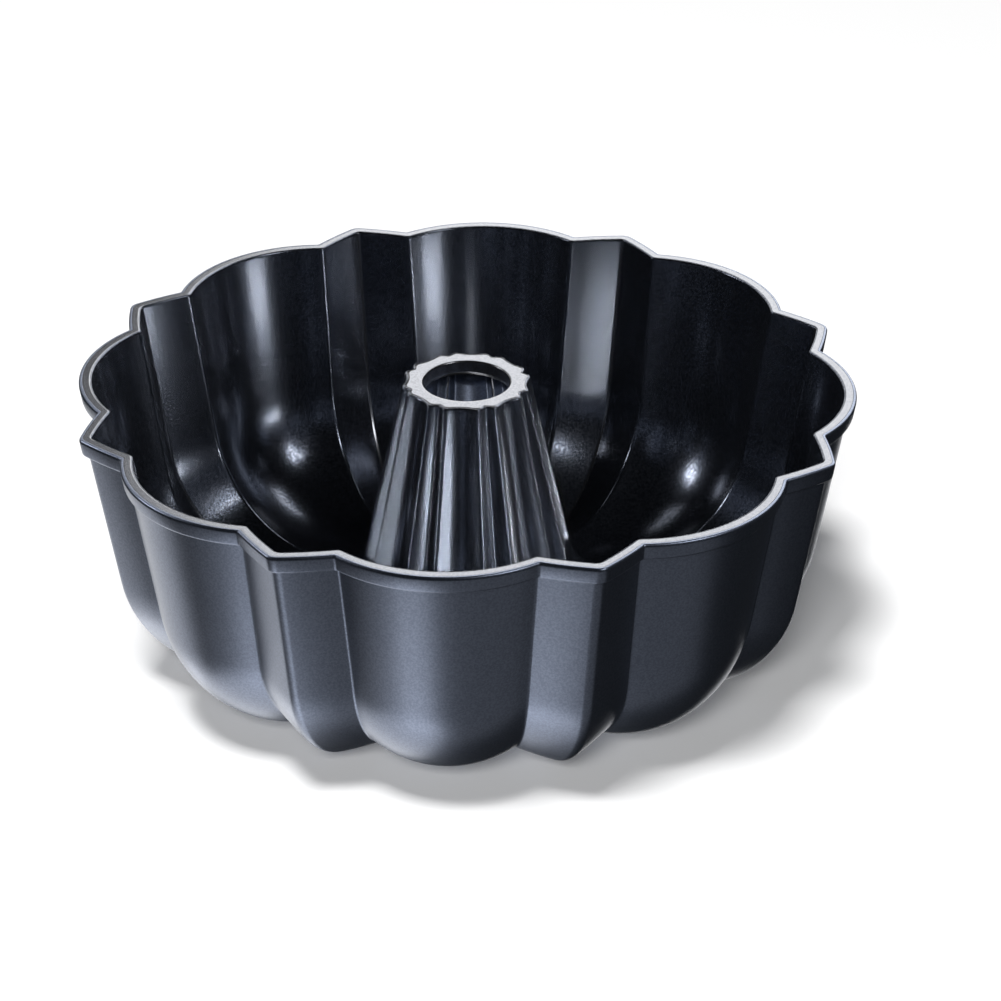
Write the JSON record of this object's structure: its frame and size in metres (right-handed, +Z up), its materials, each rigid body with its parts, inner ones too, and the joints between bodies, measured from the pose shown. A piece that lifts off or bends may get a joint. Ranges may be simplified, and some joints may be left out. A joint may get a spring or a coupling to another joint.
{
  "type": "bundt pan",
  "caption": "Fluted ring cake pan in cast aluminium with round lobes, sharp ridges, a tapered centre tube and a dark non-stick lining.",
  "frame": {"origin": "on the pan's axis, in the plane that the ridges rest on", "axes": "+Z up along the axis of the centre tube, towards the open rim; +X through the middle of a round lobe"},
  "size_m": [0.2482, 0.2482, 0.0923],
  "materials": {
    "casting": "satin, dark coated cast aluminium, with a flat machined rim",
    "tube_metal": "satin, dark coated cast aluminium",
    "lining": "glossy near-black non-stick coat with a fine metallic fleck",
    "outer_coat": "satin slate-blue metallic coat"
  },
  "bodies": {
    "root": {"cast_shell": "casting", "centre_tube": "tube_metal", "nonstick_lining": "lining", "outer_coat": "outer_coat"}
  },
  "joints": []
}
